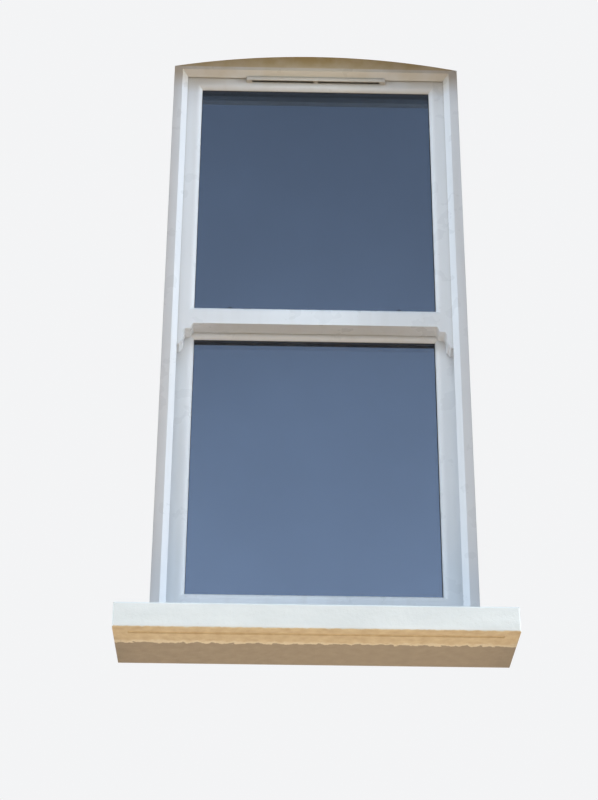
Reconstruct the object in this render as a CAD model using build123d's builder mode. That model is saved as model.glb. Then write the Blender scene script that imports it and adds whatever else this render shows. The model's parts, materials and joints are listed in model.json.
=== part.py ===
from build123d import *
from math import ceil, cos, radians, sin
import os

os.makedirs("parts", exist_ok=True)

# A white plastic vertical sliding sash window on its painted stone sill.
# X runs across the window, Y from the street (0 at the frame's outer face)
# into the room, and Z up from the underside of the stone sill. Millimetres.
# Left and right are as seen from the street.

# Box frame
frame_width = 737.0
frame_depth = 135.0
frame_height = 1554.0
arch_rise = 37.5
profile_wall = 2.5
slanted_wall = 4.0
web_wall = 2.0
jamb_thickness = 20.5
leg_depth = 17.0
leg_chamfer = 13.5
leg_chamfer_depth = 15.5
head_height = 23.0
head_web = 7.0
parting_drop = 10.0
cill_height = 38.0
cill_front = 20.0
cill_seat_width = 10.0
cill_seat_rise = 5.0
cill_recess = 10.7
seat_gap = 0.3

# Painted stone sill
stone_length = 872.0
stone_front_height = 57.0
stone_weathering = 18.0
stone_projection = 150.0
stone_built_in = 105.0
stone_tail = 65.0
stone_arris = 4.0
throat_radius = 6.0
throat_setback = 32.0

# Sashes
sash_cover = 12.0
sash_side_gap = 2.5
sash_thickness = 44.0
pile_gap = 3.0
sash_gap = 6.0
stile_width = 50.0
meeting_rail_width = 47.7
upper_top_rail_width = 44.0
lower_top_rail_width = 52.0
bottom_rail_width = 60.0
meeting_drop = 7.5
meeting_overlap = 40.0
bead_width = 13.0
bead_depth = 11.0
bead_tip = 1.5
rebate_depth = 18.0
rebate_wall = 2.5
inner_bead_depth = 7.0
inner_bead_lip = 1.5
inner_bead_slope = 4.5
glass_cover = 14.0
pane_thickness = 4.0
pane_cavity = 16.0
gasket_thickness = 1.2
gasket_width = 6.0
gasket_setback = 0.8
gasket_show = 0.6
spacer_height = 7.0
spacer_wall = 0.5
spacer_setback = 3.0
setting_block_length = 80.0
mitre_gap = 0.2
steel_wall = 1.5
steel_clearance = 0.3
steel_end_gap = 60.0
head_room = 120.0

# Ogee horns below the upper sash
horn_drop = 58.5
horn_cove = 14.0
horn_cove_radius = 19.5
horn_flat = 13.0
horn_flat_fall = 1.0
horn_round = 17.0
horn_round_width = 5.0
horn_taper = 0.5
horn_inset = 6.5
horn_foot = 7.0
horn_foot_width = 5.0
horn_foot_lip = 3.0

# Balances
slot_width = 14.0
slot_offset = 30.0
pocket_before_slot = 25.0
pocket_after_slot = 13.0
tube_diameter = 14.3
tube_wall = 0.9
tube_gap = 1.0
hanger_height = 22.0
hanger_plug = 12.0
plug_clearance = 0.1
hanger_edge = 3.0
hanger_slot_width = 4.4
hanger_slot_height = 8.0
rod_width = 7.0
rod_thickness = 2.5
rod_pitch = 120.0
facets_per_turn = 12
rod_engaged = 30.0
rod_end_gap = 3.0
shoe_height = 55.0
shoe_below_pivot = 25.0
shoe_clearance = 0.5
shoe_edge = 2.0
shoe_tube_gap = 5.0
pivot_height = 20.0
pivot_diameter = 10.0
pivot_clearance = 0.05
pivot_reach = 11.0
pivot_end_gap = 0.5
pivot_plate_width = 26.0
pivot_plate_height = 46.0
pivot_plate_corner = 3.0
pivot_plate_setback = 6.0
pivot_plate_rise = 8.0
pivot_plate_gap = 0.7

# Travel stops and brush pile
stop_length = 30.0
stop_width = 12.0
stop_depth = 12.0
stop_corner = 3.0
stop_setback = 3.0
pile_width = 5.0
pile_clearance = 0.4
pile_inset = 3.0
meeting_pile_rise = 8.0

# Fasteners on the meeting rails
cam_inset = 129.5
cam_axis_setback = 18.0
cam_reach = 31.0
cam_hook_width = 3.0
hook_start = -5.0
hook_sweep = 60.0
hook_arm = 14.0
cam_thickness = 6.0
cam_level = 10.5
cam_handle_height = 46.0
handle_root = 9.0
handle_lean = 11.0
handle_thickness = 8.0
handle_back_radius = 40.0
handle_front_radius = 34.0
handle_tip_width = 7.0
handle_tip_radius = 4.0
turret_diameter = 20.0
spindle_diameter = 6.0
spindle_end_gap = 2.0
catch_base_length = 56.0
catch_base_width = 26.0
catch_base_thickness = 2.5
catch_base_corner = 5.0
keeper_length = 20.0
keeper_leg = 20.0
keeper_lip = 2.5
keeper_plate = 2.0

# Tilt latches on the lower sash
latch_length = 82.0
latch_width = 14.0
latch_height = 8.0
latch_wall = 1.5
latch_edge = 1.2
latch_end_gap = 1.0
bolt_throw = 9.0
bolt_clearance = 0.3
bolt_nose = 3.0
button_length = 12.0
button_width = 10.0
button_height = 5.0
button_rim = 1.0
button_corner = 2.0
button_taper = 12.0
button_neck_width = 5.0
button_slot_gap = 0.5

# Sash lifts
lift_inset = 175.5
lift_width = 44.0
lift_height = 25.0
lift_rim_drop = 8.0
lift_projection = 20.0
lift_thickness = 3.0
lift_below_pivot = 2.0

# Trickle vent in the upper sash's top rail
canopy_length = 362.0
canopy_height = 11.0
canopy_projection = 12.0
canopy_end = 14.0
canopy_wall = 1.6
canopy_gap = 1.0
canopy_edge = 3.0
canopy_corner = 2.0
vent_slot_length = 160.0
vent_slot_height = 7.0
vent_bridge = 12.0
grille_length = 356.0
grille_height = 19.0
grille_base = 1.5
grille_depth = 4.4
grille_lip = 1.0
louvre_pitch = 14.0
louvre_width = 6.6
louvre_count = 24
shutter_thickness = 1.2
shutter_rib_width = 2.4
shutter_rib_height = 1.2
shutter_rib_inset = 12.5
slide_clearance = 0.3

# Frame fixings through the jambs
fixing_diameter = 6.5
fixing_spacing = 380.0
fixing_count = 4

# How far a cutting form runs past the piece that it cuts
overshoot = 1.0

# Places that follow from the sizes above
half_frame = frame_width / 2
track_face = half_frame - jamb_thickness
half_sash = track_face - sash_side_gap
leg_edge = half_sash - sash_cover
frame_bottom = stone_front_height + stone_weathering
spring_level = frame_bottom + frame_height
head_leg_level = spring_level - head_height
arch_radius = (half_frame**2 + arch_rise**2) / (2 * arch_rise)
arch_centre = spring_level + arch_rise - arch_radius
upper_face = leg_depth + pile_gap
lower_face = upper_face + sash_thickness + sash_gap
lower_bottom = frame_bottom + cill_height
upper_top = head_leg_level + sash_cover
meeting_height = (upper_top - lower_bottom) / 2 - meeting_drop
upper_bottom = lower_bottom + meeting_height
lower_top = upper_bottom + meeting_overlap
travel = upper_top - lower_top - head_room
unit_start = bead_depth + gasket_thickness
unit_thickness = 2 * pane_thickness + pane_cavity
upper_slot = upper_face + slot_offset
lower_slot = lower_face + slot_offset
pocket_back = half_frame - profile_wall
lip_back = track_face + profile_wall
mitre_outer = leg_edge + head_height
cam_offset = half_sash - cam_inset
lift_offset = half_sash - lift_inset


def save(part, label):
    """Label a finished piece and write it to its own file."""
    part.label = label
    export_step(part, f"parts/{label}.step")


def polygon(*points):
    """A closed straight-sided face."""
    with BuildSketch() as face:
        Polygon(*points, align=None)
    return face.sketch


def box_between(low, high):
    """A block given by its lowest and highest corners."""
    size = [b - a for a, b in zip(low, high)]
    with BuildPart(Location(low)) as block:
        Box(*size, align=(Align.MIN, Align.MIN, Align.MIN))
    return block.part


def both_sides(piece):
    """A piece and its mirror image across the window."""
    with BuildPart() as pair:
        add(piece)
        mirror(piece, about=Plane.YZ)
    return pair.part


def above_arch(depth_start, depth_end):
    """Everything between two depths that lies above the arched top edge."""
    with BuildPart() as waste:
        with BuildSketch(Plane.XZ.offset(-depth_start)):
            with Locations((0, arch_centre + arch_radius)):
                Rectangle(2 * frame_width, 4 * arch_rise)
            with Locations((0, arch_centre)):
                Circle(arch_radius, mode=Mode.SUBTRACT)
        extrude(amount=depth_start - depth_end)
    return waste.part


# Stone sill: weathered top, stooled ends for the brickwork, throat beneath
with BuildPart() as stone_sill:
    with BuildSketch(Plane.YZ.offset(-stone_length / 2)):
        Polygon(
            (-stone_projection, 0),
            (stone_tail, 0),
            (stone_tail, frame_bottom),
            (0, frame_bottom),
            (-stone_projection, stone_front_height),
            align=None,
        )
    extrude(amount=stone_length)
    with BuildSketch(Plane.XY.offset(stone_front_height)):
        for side in (-1, 1):
            middle = side * (half_frame + stone_length / 2) / 2
            with Locations((middle, (stone_tail - stone_built_in) / 2)):
                Rectangle(stone_length / 2 - half_frame, stone_tail + stone_built_in)
    extrude(amount=stone_weathering)
    front = stone_sill.faces().sort_by(Axis.Y)[0]
    fillet(front.edges(), stone_arris)
    with BuildSketch(Plane.YZ.offset(-stone_length / 2 + throat_setback)):
        with Locations((-stone_projection + throat_setback, 0)):
            Circle(throat_radius)
    extrude(amount=stone_length - 2 * throat_setback, mode=Mode.SUBTRACT)
save(stone_sill.part, "stone_sill")


def pocket(slot_centre):
    """A balance pocket behind its slot, as a section of the right jamb."""
    start = slot_centre - pocket_before_slot
    end = slot_centre + pocket_after_slot
    with BuildSketch() as hollow:
        with Locations(((lip_back + pocket_back) / 2, (start + end) / 2)):
            Rectangle(pocket_back - lip_back, end - start)
        with Locations((track_face + profile_wall / 2, slot_centre)):
            Rectangle(profile_wall, slot_width)
    return hollow.sketch


# The four fixing holes, centred on the jamb's height
fixing_levels = [
    (frame_bottom + spring_level) / 2 + (n - (fixing_count - 1) / 2) * fixing_spacing
    for n in range(fixing_count)
]
upper_pocket_start = upper_slot - pocket_before_slot
upper_pocket_end = upper_slot + pocket_after_slot
lower_pocket_start = lower_slot - pocket_before_slot
lower_pocket_end = lower_slot + pocket_after_slot
fixing_depth = (upper_pocket_end + lower_pocket_start) / 2

# Jambs: a chambered section with a covering leg and two balance pockets
with BuildPart() as jamb_right:
    with BuildSketch(Plane.XY.offset(frame_bottom)):
        Polygon(
            (half_frame, 0),
            (leg_edge + leg_chamfer, 0),
            (leg_edge, leg_chamfer_depth),
            (leg_edge, leg_depth),
            (track_face, leg_depth),
            (track_face, frame_depth),
            (half_frame, frame_depth),
            align=None,
        )
        add(pocket(upper_slot), mode=Mode.SUBTRACT)
        add(pocket(lower_slot), mode=Mode.SUBTRACT)
        Polygon(
            (pocket_back, profile_wall),
            (leg_edge + leg_chamfer + profile_wall / 2, profile_wall),
            (leg_edge + slanted_wall, leg_depth - profile_wall),
            (lip_back, leg_depth - profile_wall),
            (lip_back, upper_pocket_start - profile_wall),
            (pocket_back, upper_pocket_start - profile_wall),
            align=None,
            mode=Mode.SUBTRACT,
        )
        for start, end in (
            (upper_pocket_end, lower_pocket_start),
            (lower_pocket_end, frame_depth),
        ):
            with Locations(((lip_back + pocket_back) / 2, (start + end) / 2)):
                Rectangle(
                    pocket_back - lip_back,
                    end - start - 2 * profile_wall,
                    mode=Mode.SUBTRACT,
                )
    extrude(amount=frame_height + arch_rise)
    add(above_arch(-overshoot, frame_depth + overshoot), mode=Mode.SUBTRACT)
    with BuildSketch(Plane.XZ):
        Polygon(
            (0, head_leg_level - leg_edge),
            (mitre_outer, spring_level),
            (mitre_outer, spring_level + arch_rise),
            (0, spring_level + arch_rise),
            align=None,
        )
    extrude(amount=-leg_depth, mode=Mode.SUBTRACT)
    with Locations(Plane.YZ.offset(track_face)):
        with Locations(*[(fixing_depth, level) for level in fixing_levels]):
            Cylinder(
                fixing_diameter / 2,
                jamb_thickness,
                align=(Align.CENTER, Align.CENTER, Align.MIN),
                mode=Mode.SUBTRACT,
            )
save(jamb_right.part, "jamb_right")

with BuildPart() as jamb_left:
    mirror(jamb_right.part, about=Plane.YZ)
save(jamb_left.part, "jamb_left")

# Head: mitred covering leg in front, then a thin chambered web with the
# parting and inner legs hanging from it between the jambs
parting_start = upper_face + sash_thickness + sash_gap / 3
parting_end = lower_face - sash_gap / 6
inner_leg_start = lower_face + sash_thickness + pile_gap
web_level = spring_level - head_web
with BuildPart() as frame_head:
    with BuildSketch(Plane.YZ.offset(-mitre_outer)):
        Polygon(
            (0, spring_level),
            (0, head_leg_level + leg_chamfer),
            (leg_chamfer_depth, head_leg_level),
            (leg_depth, head_leg_level),
            (leg_depth, spring_level),
            align=None,
        )
        Polygon(
            (profile_wall, spring_level - profile_wall),
            (profile_wall, head_leg_level + leg_chamfer + profile_wall / 2),
            (leg_depth - profile_wall, head_leg_level + slanted_wall),
            (leg_depth - profile_wall, spring_level - profile_wall),
            align=None,
            mode=Mode.SUBTRACT,
        )
    extrude(amount=2 * mitre_outer)
    for side in (-1, 1):
        split(
            bisect_by=Plane((side * leg_edge, 0, head_leg_level), z_dir=(side, 0, -1)),
            keep=Keep.BOTTOM,
        )
    with BuildSketch(Plane.YZ.offset(-track_face)):
        Polygon(
            (leg_depth, spring_level),
            (leg_depth, web_level),
            (parting_start, web_level),
            (parting_start, web_level - parting_drop),
            (parting_end, web_level - parting_drop),
            (parting_end, web_level),
            (inner_leg_start, web_level),
            (inner_leg_start, head_leg_level),
            (frame_depth, head_leg_level),
            (frame_depth, spring_level),
            align=None,
        )
        for start, end in ((leg_depth, parting_start), (parting_end, inner_leg_start)):
            with Locations(((start + end) / 2, spring_level - head_web / 2)):
                Rectangle(
                    end - start - 2 * profile_wall,
                    head_web - 2 * web_wall,
                    mode=Mode.SUBTRACT,
                )
        with Locations(((inner_leg_start + frame_depth) / 2, spring_level - head_height / 2)):
            Rectangle(
                frame_depth - inner_leg_start - 2 * profile_wall,
                head_height - 2 * profile_wall,
                mode=Mode.SUBTRACT,
            )
    extrude(amount=2 * track_face)
save(frame_head.part, "frame_head")

# Arched board that fills between the straight head and the brick arch
with BuildPart() as arch_board:
    with BuildSketch(Plane.XZ):
        with Locations((0, spring_level + arch_rise / 2)):
            Rectangle(2 * mitre_outer, arch_rise)
    extrude(amount=-leg_depth)
    add(above_arch(-overshoot, leg_depth + overshoot), mode=Mode.SUBTRACT)
save(arch_board.part, "arch_board")

# Frame cill: sloped to the street, a seat rib under the lower sash, and a
# drained recess that the sash's bottom edge swings through when it tilts
seat_start = lower_face
seat_end = lower_face + cill_seat_width
seat_top = lower_bottom - seat_gap
slope_top = seat_top - cill_seat_rise
recess_level = seat_top - cill_recess
with BuildPart() as frame_cill:
    with BuildSketch(Plane.YZ.offset(-track_face)):
        Polygon(
            (0, frame_bottom),
            (0, frame_bottom + cill_front),
            (seat_start, slope_top),
            (seat_start, seat_top),
            (seat_end, seat_top),
            (seat_end, recess_level),
            (frame_depth, recess_level),
            (frame_depth, frame_bottom),
            align=None,
        )
        Polygon(
            (profile_wall, frame_bottom + profile_wall),
            (profile_wall, frame_bottom + cill_front - profile_wall),
            (seat_start - profile_wall, slope_top - profile_wall),
            (seat_start - profile_wall, frame_bottom + profile_wall),
            align=None,
            mode=Mode.SUBTRACT,
        )
        with Locations(
            ((seat_start + frame_depth) / 2, (frame_bottom + recess_level) / 2)
        ):
            Rectangle(
                frame_depth - seat_start - 2 * profile_wall,
                recess_level - frame_bottom - 2 * profile_wall,
                mode=Mode.SUBTRACT,
            )
    extrude(amount=2 * track_face)
    with BuildSketch(Plane.XY.offset(frame_bottom)):
        for side in (-1, 1):
            Polygon(
                (side * track_face, 0),
                (side * (leg_edge + leg_chamfer), 0),
                (side * leg_edge, leg_chamfer_depth),
                (side * leg_edge, leg_depth),
                (side * track_face, leg_depth),
                align=None,
            )
    extrude(amount=cill_height, mode=Mode.SUBTRACT)
save(frame_cill.part, "frame_cill")


# Rings of mitred lengths: sash members, gaskets, spacers and beads.
# A section is drawn with X from the sash's outer edge towards the glass and
# Y from its outer face into the room.
INWARD = {"left": (1, 0, 0), "right": (-1, 0, 0), "bottom": (0, 0, 1), "top": (0, 0, -1)}


def ring_length(side, section, ring, joint_gap=0.0):
    """One side of a mitred ring, cut at 45 degrees through the inner corners."""
    face, low, high, widths = ring
    corner_x = half_sash - widths["stile"]
    corner_z = {1: low + widths["bottom"], -1: high - widths["top"]}
    upright = side in ("left", "right")
    starts = {
        "left": (-half_sash, face, low),
        "right": (half_sash, face, high),
        "bottom": (half_sash, face, low),
        "top": (-half_sash, face, high),
    }
    inward = Vector(*INWARD[side])
    plane = Plane(
        starts[side], x_dir=inward, z_dir=inward.cross(Vector(0, 1, 0))
    )
    with BuildPart() as length:
        with BuildSketch(plane):
            add(section)
        extrude(amount=high - low if upright else 2 * half_sash)
        for across in (-1, 1):
            for up in (-1, 1):
                crosses = INWARD[side][0] == -across if upright else INWARD[side][2] == up
                if crosses:
                    cut = Plane(
                        (across * corner_x, 0, corner_z[up]), z_dir=(across, 0, up)
                    )
                    if upright:
                        split(bisect_by=cut.offset(joint_gap / 2), keep=Keep.TOP)
                    else:
                        split(bisect_by=cut.offset(-joint_gap / 2), keep=Keep.BOTTOM)
    return length.part


def whole_ring(section_at, ring, joint_gap=0.0):
    """All four sides of a ring, welded together or parted at the mitres."""
    widths = ring[3]
    with BuildPart() as joined:
        for side in INWARD:
            width = widths["stile"] if side in ("left", "right") else widths[side]
            add(ring_length(side, section_at(width), ring, joint_gap))
    return joined.part


def sash_section(width):
    """The chambered sash section with its ovolo bead and glazing rebate."""
    flat = width - bead_width
    rebate = width - rebate_depth
    with BuildSketch() as section:
        with BuildLine():
            Line((0, 0), (flat, 0))
            TangentArc((flat, 0), (width, bead_depth - bead_tip), tangent=(1, 0))
            Polyline(
                (width, bead_depth - bead_tip),
                (width, bead_depth),
                (rebate, bead_depth),
                (rebate, sash_thickness),
                (0, sash_thickness),
                (0, 0),
            )
        make_face()
        with Locations((rebate / 2, sash_thickness / 2)):
            Rectangle(
                rebate - 2 * rebate_wall,
                sash_thickness - 2 * rebate_wall,
                mode=Mode.SUBTRACT,
            )
    return section.sketch


def steel_section(width):
    """The galvanised steel tube inside a sash member."""
    margin = rebate_wall + steel_clearance
    tube_width = width - rebate_depth - 2 * margin
    tube_depth = sash_thickness - 2 * margin
    with BuildSketch() as section:
        with Locations(((width - rebate_depth) / 2, sash_thickness / 2)):
            Rectangle(tube_width, tube_depth)
            Rectangle(
                tube_width - 2 * steel_wall,
                tube_depth - 2 * steel_wall,
                mode=Mode.SUBTRACT,
            )
    return section.sketch


def bead_section(width):
    """The inner glazing bead, clipped in from the room side."""
    rebate = width - rebate_depth
    back = sash_thickness - inner_bead_depth
    return polygon(
        (rebate, back),
        (width, back),
        (width, back + inner_bead_lip),
        (width - inner_bead_slope, sash_thickness),
        (rebate, sash_thickness),
    )


def gasket_section(width):
    """The outer glazing gasket against the first pane."""
    return polygon(
        (width - gasket_width, bead_depth),
        (width - gasket_setback, bead_depth),
        (width + gasket_show, unit_start),
        (width - gasket_width, unit_start),
    )


def spacer_section(width):
    """The hollow bar between the panes, flush with their edges."""
    edge = width - glass_cover + spacer_setback
    middle = (edge + spacer_height / 2, unit_start + pane_thickness + pane_cavity / 2)
    with BuildSketch() as section:
        with Locations(middle):
            Rectangle(spacer_height, pane_cavity)
            Rectangle(
                spacer_height - 2 * spacer_wall,
                pane_cavity - 2 * spacer_wall,
                mode=Mode.SUBTRACT,
            )
    return section.sketch


def pane(ring, start):
    """A sheet of glass in a sash, at a depth behind the sash's face."""
    face, low, high, widths = ring
    half = half_sash - widths["stile"] + glass_cover
    return box_between(
        (-half, face + start, low + widths["bottom"] - glass_cover),
        (half, face + start + pane_thickness, high - widths["top"] + glass_cover),
    )


def setting_blocks(ring):
    """The two blocks that the sealed unit stands on."""
    face, low, _, widths = ring
    rebate = low + widths["bottom"] - rebate_depth
    block = box_between(
        (half_sash / 2, face + unit_start, rebate),
        (
            half_sash / 2 + setting_block_length,
            face + unit_start + unit_thickness,
            rebate + rebate_depth - glass_cover,
        ),
    )
    return both_sides(block)


def steel_lengths(ring):
    """Steel tubes in the four members, stopped short of the welded corners."""
    face, low, high, widths = ring
    with BuildPart() as tubes:
        for side in INWARD:
            upright = side in ("left", "right")
            width = widths["stile"] if upright else widths[side]
            if side == "top" and face == upper_face:
                continue
            add(ring_length(side, steel_section(width), ring, 2 * steel_end_gap))
    return tubes.part


upper_ring = (
    upper_face,
    upper_bottom,
    upper_top,
    {"stile": stile_width, "bottom": meeting_rail_width, "top": upper_top_rail_width},
)
lower_ring = (
    lower_face,
    lower_bottom,
    lower_top,
    {"stile": stile_width, "bottom": bottom_rail_width, "top": lower_top_rail_width},
)

# Vent slots through the top rail, level with the canopy
canopy_top = head_leg_level - canopy_gap
canopy_bottom = canopy_top - canopy_height
vent_level = canopy_top - canopy_height / 2
vent_slot_middle = (vent_bridge + vent_slot_length) / 2

for sash, ring, names in (
    ("upper", upper_ring, {"bottom": "meeting_rail", "top": "top_rail"}),
    ("lower", lower_ring, {"bottom": "bottom_rail", "top": "meeting_rail"}),
):
    for side in INWARD:
        width = ring[3]["stile"] if side in ("left", "right") else ring[3][side]
        member = ring_length(side, sash_section(width), ring)
        with BuildPart() as sash_member:
            add(member)
            if sash == "upper" and side == "top":
                with BuildSketch(Plane.XZ.offset(-upper_face)):
                    with Locations((-vent_slot_middle, vent_level), (vent_slot_middle, vent_level)):
                        Rectangle(vent_slot_length, vent_slot_height)
                extrude(amount=-sash_thickness, mode=Mode.SUBTRACT)
        save(sash_member.part, f"{sash}_{names.get(side, 'stile_' + side)}")
    save(pane(ring, unit_start), f"{sash}_outer_pane")
    save(pane(ring, unit_start + pane_thickness + pane_cavity), f"{sash}_inner_pane")
    save(whole_ring(spacer_section, ring), f"{sash}_spacer_bar")
    save(whole_ring(bead_section, ring, mitre_gap), f"{sash}_glazing_beads")
    save(whole_ring(gasket_section, ring), f"{sash}_gasket")
    save(setting_blocks(ring), f"{sash}_setting_blocks")
    save(steel_lengths(ring), f"{sash}_reinforcement")

# Ogee horns: a cove, a flat, a quarter round and a foot on the inner edge
horn_inner = half_sash - stile_width
with BuildPart() as horn_right:
    with BuildSketch(Plane.XZ.offset(-upper_face)):
        with BuildLine():
            cove_end = (horn_inner + horn_inset, upper_bottom - horn_cove)
            RadiusArc((horn_inner, upper_bottom), cove_end, horn_cove_radius)
            round_start = (cove_end[0] + horn_flat, cove_end[1] - horn_flat_fall)
            round_end = (round_start[0] + horn_round_width, round_start[1] - horn_round)
            Line(cove_end, round_start)
            RadiusArc(round_start, round_end, horn_round)
            step_start = (round_end[0] + horn_taper, upper_bottom - horn_drop + 2 * horn_foot)
            step_end = (step_start[0] + horn_foot_width, upper_bottom - horn_drop + horn_foot)
            foot = (step_end[0] + horn_foot_lip, upper_bottom - horn_drop)
            Line(round_end, step_start)
            RadiusArc(step_start, step_end, -horn_foot)
            Polyline(
                step_end,
                foot,
                (half_sash, upper_bottom - horn_drop),
                (half_sash, upper_bottom),
                (horn_inner, upper_bottom),
            )
        make_face()
    extrude(amount=-sash_thickness)
save(horn_right.part, "horn_right")

with BuildPart() as horn_left:
    mirror(horn_right.part, about=Plane.YZ)
save(horn_left.part, "horn_left")

# Trickle vent canopy outside, open along its underside
with BuildPart() as vent_canopy:
    front = upper_face - canopy_projection
    add(
        box_between(
            (-canopy_length / 2, front, canopy_bottom),
            (canopy_length / 2, upper_face, canopy_top),
        )
    )
    outer_edges = vent_canopy.edges().filter_by(Axis.X).group_by(Axis.Y)[0]
    fillet(outer_edges.sort_by(Axis.Z)[-1], canopy_edge)
    fillet(vent_canopy.edges().filter_by(Axis.Z).group_by(Axis.Y)[0], canopy_corner)
    add(
        box_between(
            (-canopy_length / 2 + canopy_end, front + canopy_wall, canopy_bottom - overshoot),
            (canopy_length / 2 - canopy_end, upper_face + overshoot, canopy_top - canopy_wall),
        ),
        mode=Mode.SUBTRACT,
    )
save(vent_canopy.part, "vent_canopy")

# Hit-and-miss grille inside: a slotted plate with lipped rails, and a
# slotted shutter that slides between them
inner_face = upper_face + sash_thickness
louvre_height = vent_slot_height


def louvres(plane, depth):
    """A row of upright slots through a plate that lies on a plane."""
    with BuildPart() as row:
        with BuildSketch(plane):
            with GridLocations(louvre_pitch, 1, louvre_count, 1):
                Rectangle(louvre_width, louvre_height)
        extrude(amount=depth)
    return row.part


grille_plane = Plane((0, inner_face, vent_level), x_dir=(1, 0, 0), z_dir=(0, 1, 0))
with BuildPart() as vent_grille:
    with BuildSketch(Plane.YZ.offset(-grille_length / 2)):
        with BuildLine():
            half = grille_height / 2
            lip = half - 2 * grille_base
            Polyline(
                (inner_face, vent_level - half),
                (inner_face, vent_level + half),
                (inner_face + grille_depth, vent_level + half),
                (inner_face + grille_depth, vent_level + lip),
                (inner_face + grille_depth - grille_lip, vent_level + lip),
                (inner_face + grille_depth - grille_lip, vent_level + half - grille_base),
                (inner_face + grille_base, vent_level + half - grille_base),
                (inner_face + grille_base, vent_level - half + grille_base),
                (inner_face + grille_depth - grille_lip, vent_level - half + grille_base),
                (inner_face + grille_depth - grille_lip, vent_level - lip),
                (inner_face + grille_depth, vent_level - lip),
                (inner_face + grille_depth, vent_level - half),
                close=True,
            )
        make_face()
    extrude(amount=grille_length)
    add(louvres(grille_plane, grille_base), mode=Mode.SUBTRACT)
save(vent_grille.part, "vent_grille")

shutter_start = inner_face + grille_base + slide_clearance
shutter_half = grille_height / 2 - grille_base - slide_clearance
with BuildPart() as vent_shutter:
    add(
        box_between(
            (-grille_length / 2 + louvre_pitch / 2, shutter_start, vent_level - shutter_half),
            (
                grille_length / 2 - louvre_pitch / 2,
                shutter_start + shutter_thickness,
                vent_level + shutter_half,
            ),
        )
    )
    add(
        louvres(grille_plane.offset(grille_base + slide_clearance), shutter_thickness),
        mode=Mode.SUBTRACT,
    )
    with BuildSketch(grille_plane.offset(grille_base + slide_clearance + shutter_thickness)):
        for end in (-1, 1):
            with Locations((end * (grille_length / 2 - shutter_rib_inset), 0)):
                Rectangle(shutter_rib_width, louvre_height)
    extrude(amount=shutter_rib_height)
save(vent_shutter.part, "vent_shutter")


# Spiral balances: a tube hung in each jamb pocket, a twisted rod and a shoe
def tube_depth_for(slot_centre):
    """The depth of a balance tube's axis, beside the slot in its pocket."""
    return slot_centre - pocket_before_slot + tube_diameter / 2 + tube_gap


tube_across = (lip_back + pocket_back) / 2
rod_length = travel + shoe_tube_gap + rod_engaged
tube_length = rod_length + rod_end_gap + hanger_plug


def balance_tube(slot_centre, bottom):
    """An open steel tube."""
    with BuildPart() as tube:
        with BuildSketch(Plane.XY.offset(bottom)):
            with Locations((tube_across, tube_depth_for(slot_centre))):
                Circle(tube_diameter / 2)
                Circle(tube_diameter / 2 - tube_wall, mode=Mode.SUBTRACT)
        extrude(amount=tube_length)
    return tube.part


def balance_hanger(slot_centre, bottom):
    """The plastic cap that plugs a tube's top, slotted for its screw in the jamb."""
    depth = tube_depth_for(slot_centre)
    top = bottom + tube_length
    front = tube_across - tube_diameter / 2
    with BuildPart() as hanger:
        add(
            box_between(
                (front, depth - tube_diameter / 2, top),
                (pocket_back, depth + tube_diameter / 2, top + hanger_height),
            )
        )
        chamfer(hanger.edges().filter_by(Axis.Z).group_by(Axis.X)[0], hanger_edge)
        with BuildSketch(Plane.XY.offset(top)):
            with Locations((tube_across, depth)):
                Circle(tube_diameter / 2 - tube_wall - plug_clearance)
        extrude(amount=-hanger_plug)
        with BuildSketch(Plane.YZ.offset(front)):
            with Locations((depth, top + hanger_height / 2)):
                Rectangle(hanger_slot_width, hanger_slot_height)
        extrude(amount=pocket_back - front, mode=Mode.SUBTRACT)
    return hanger.part


def twisted_rod(slot_centre, bottom):
    """A flat bar twisted evenly along its length, in flat triangular facets."""
    steps = ceil(rod_length / rod_pitch * facets_per_turn)
    half = (rod_thickness / 2, rod_width / 2)
    corners = [(half[0] * x, half[1] * y) for x, y in ((1, 1), (-1, 1), (-1, -1), (1, -1))]
    rings = []
    for step in range(steps + 1):
        turn = Location((0, 0, rod_length * step / steps), (0, 0, 360 * step / facets_per_turn))
        rings.append([(turn * Location((x, y, 0))).position for x, y in corners])
    flats = [rings[0], rings[-1]]
    for low, high in zip(rings, rings[1:]):
        for n in range(4):
            following = (n + 1) % 4
            flats.append([low[n], low[following], high[following]])
            flats.append([low[n], high[following], high[n]])
    shell = Shell([Face(Wire.make_polygon(flat)) for flat in flats])
    return Solid(shell).moved(Location((tube_across, tube_depth_for(slot_centre), bottom)))


def balance_shoe(slot_centre, pivot_level):
    """The block that slides in a pocket and carries the sash's pivot bar."""
    start = slot_centre - pocket_before_slot + shoe_clearance
    end = slot_centre + pocket_after_slot - shoe_clearance
    bottom = pivot_level - shoe_below_pivot
    with BuildPart() as shoe:
        add(
            box_between(
                (lip_back + shoe_clearance, start, bottom),
                (pocket_back - shoe_clearance, end, bottom + shoe_height),
            )
        )
        chamfer(shoe.edges().filter_by(Axis.Y), shoe_edge)
        with Locations(Location((lip_back, slot_centre, pivot_level), (0, 90, 0))):
            Cylinder(
                pivot_diameter / 2 + pivot_clearance,
                pivot_reach + pivot_end_gap,
                align=(Align.CENTER, Align.CENTER, Align.MIN),
                mode=Mode.SUBTRACT,
            )
    return shoe.part


def pivot_bar(slot_centre, pivot_level):
    """A plate on the stile's edge with the round pin that enters the shoe."""
    with BuildPart() as bar:
        with BuildSketch(Plane.YZ.offset(half_sash)):
            with Locations(
                (slot_centre - pivot_plate_setback, pivot_level + pivot_plate_rise)
            ):
                plate = Rectangle(pivot_plate_width, pivot_plate_height)
            chamfer(plate.vertices(), pivot_plate_corner)
        extrude(amount=sash_side_gap - pivot_plate_gap)
        with BuildSketch(Plane.YZ.offset(half_sash)):
            with Locations((slot_centre, pivot_level)):
                Circle(pivot_diameter / 2)
        extrude(amount=lip_back - half_sash + pivot_reach - pivot_end_gap)
    return bar.part


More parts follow.
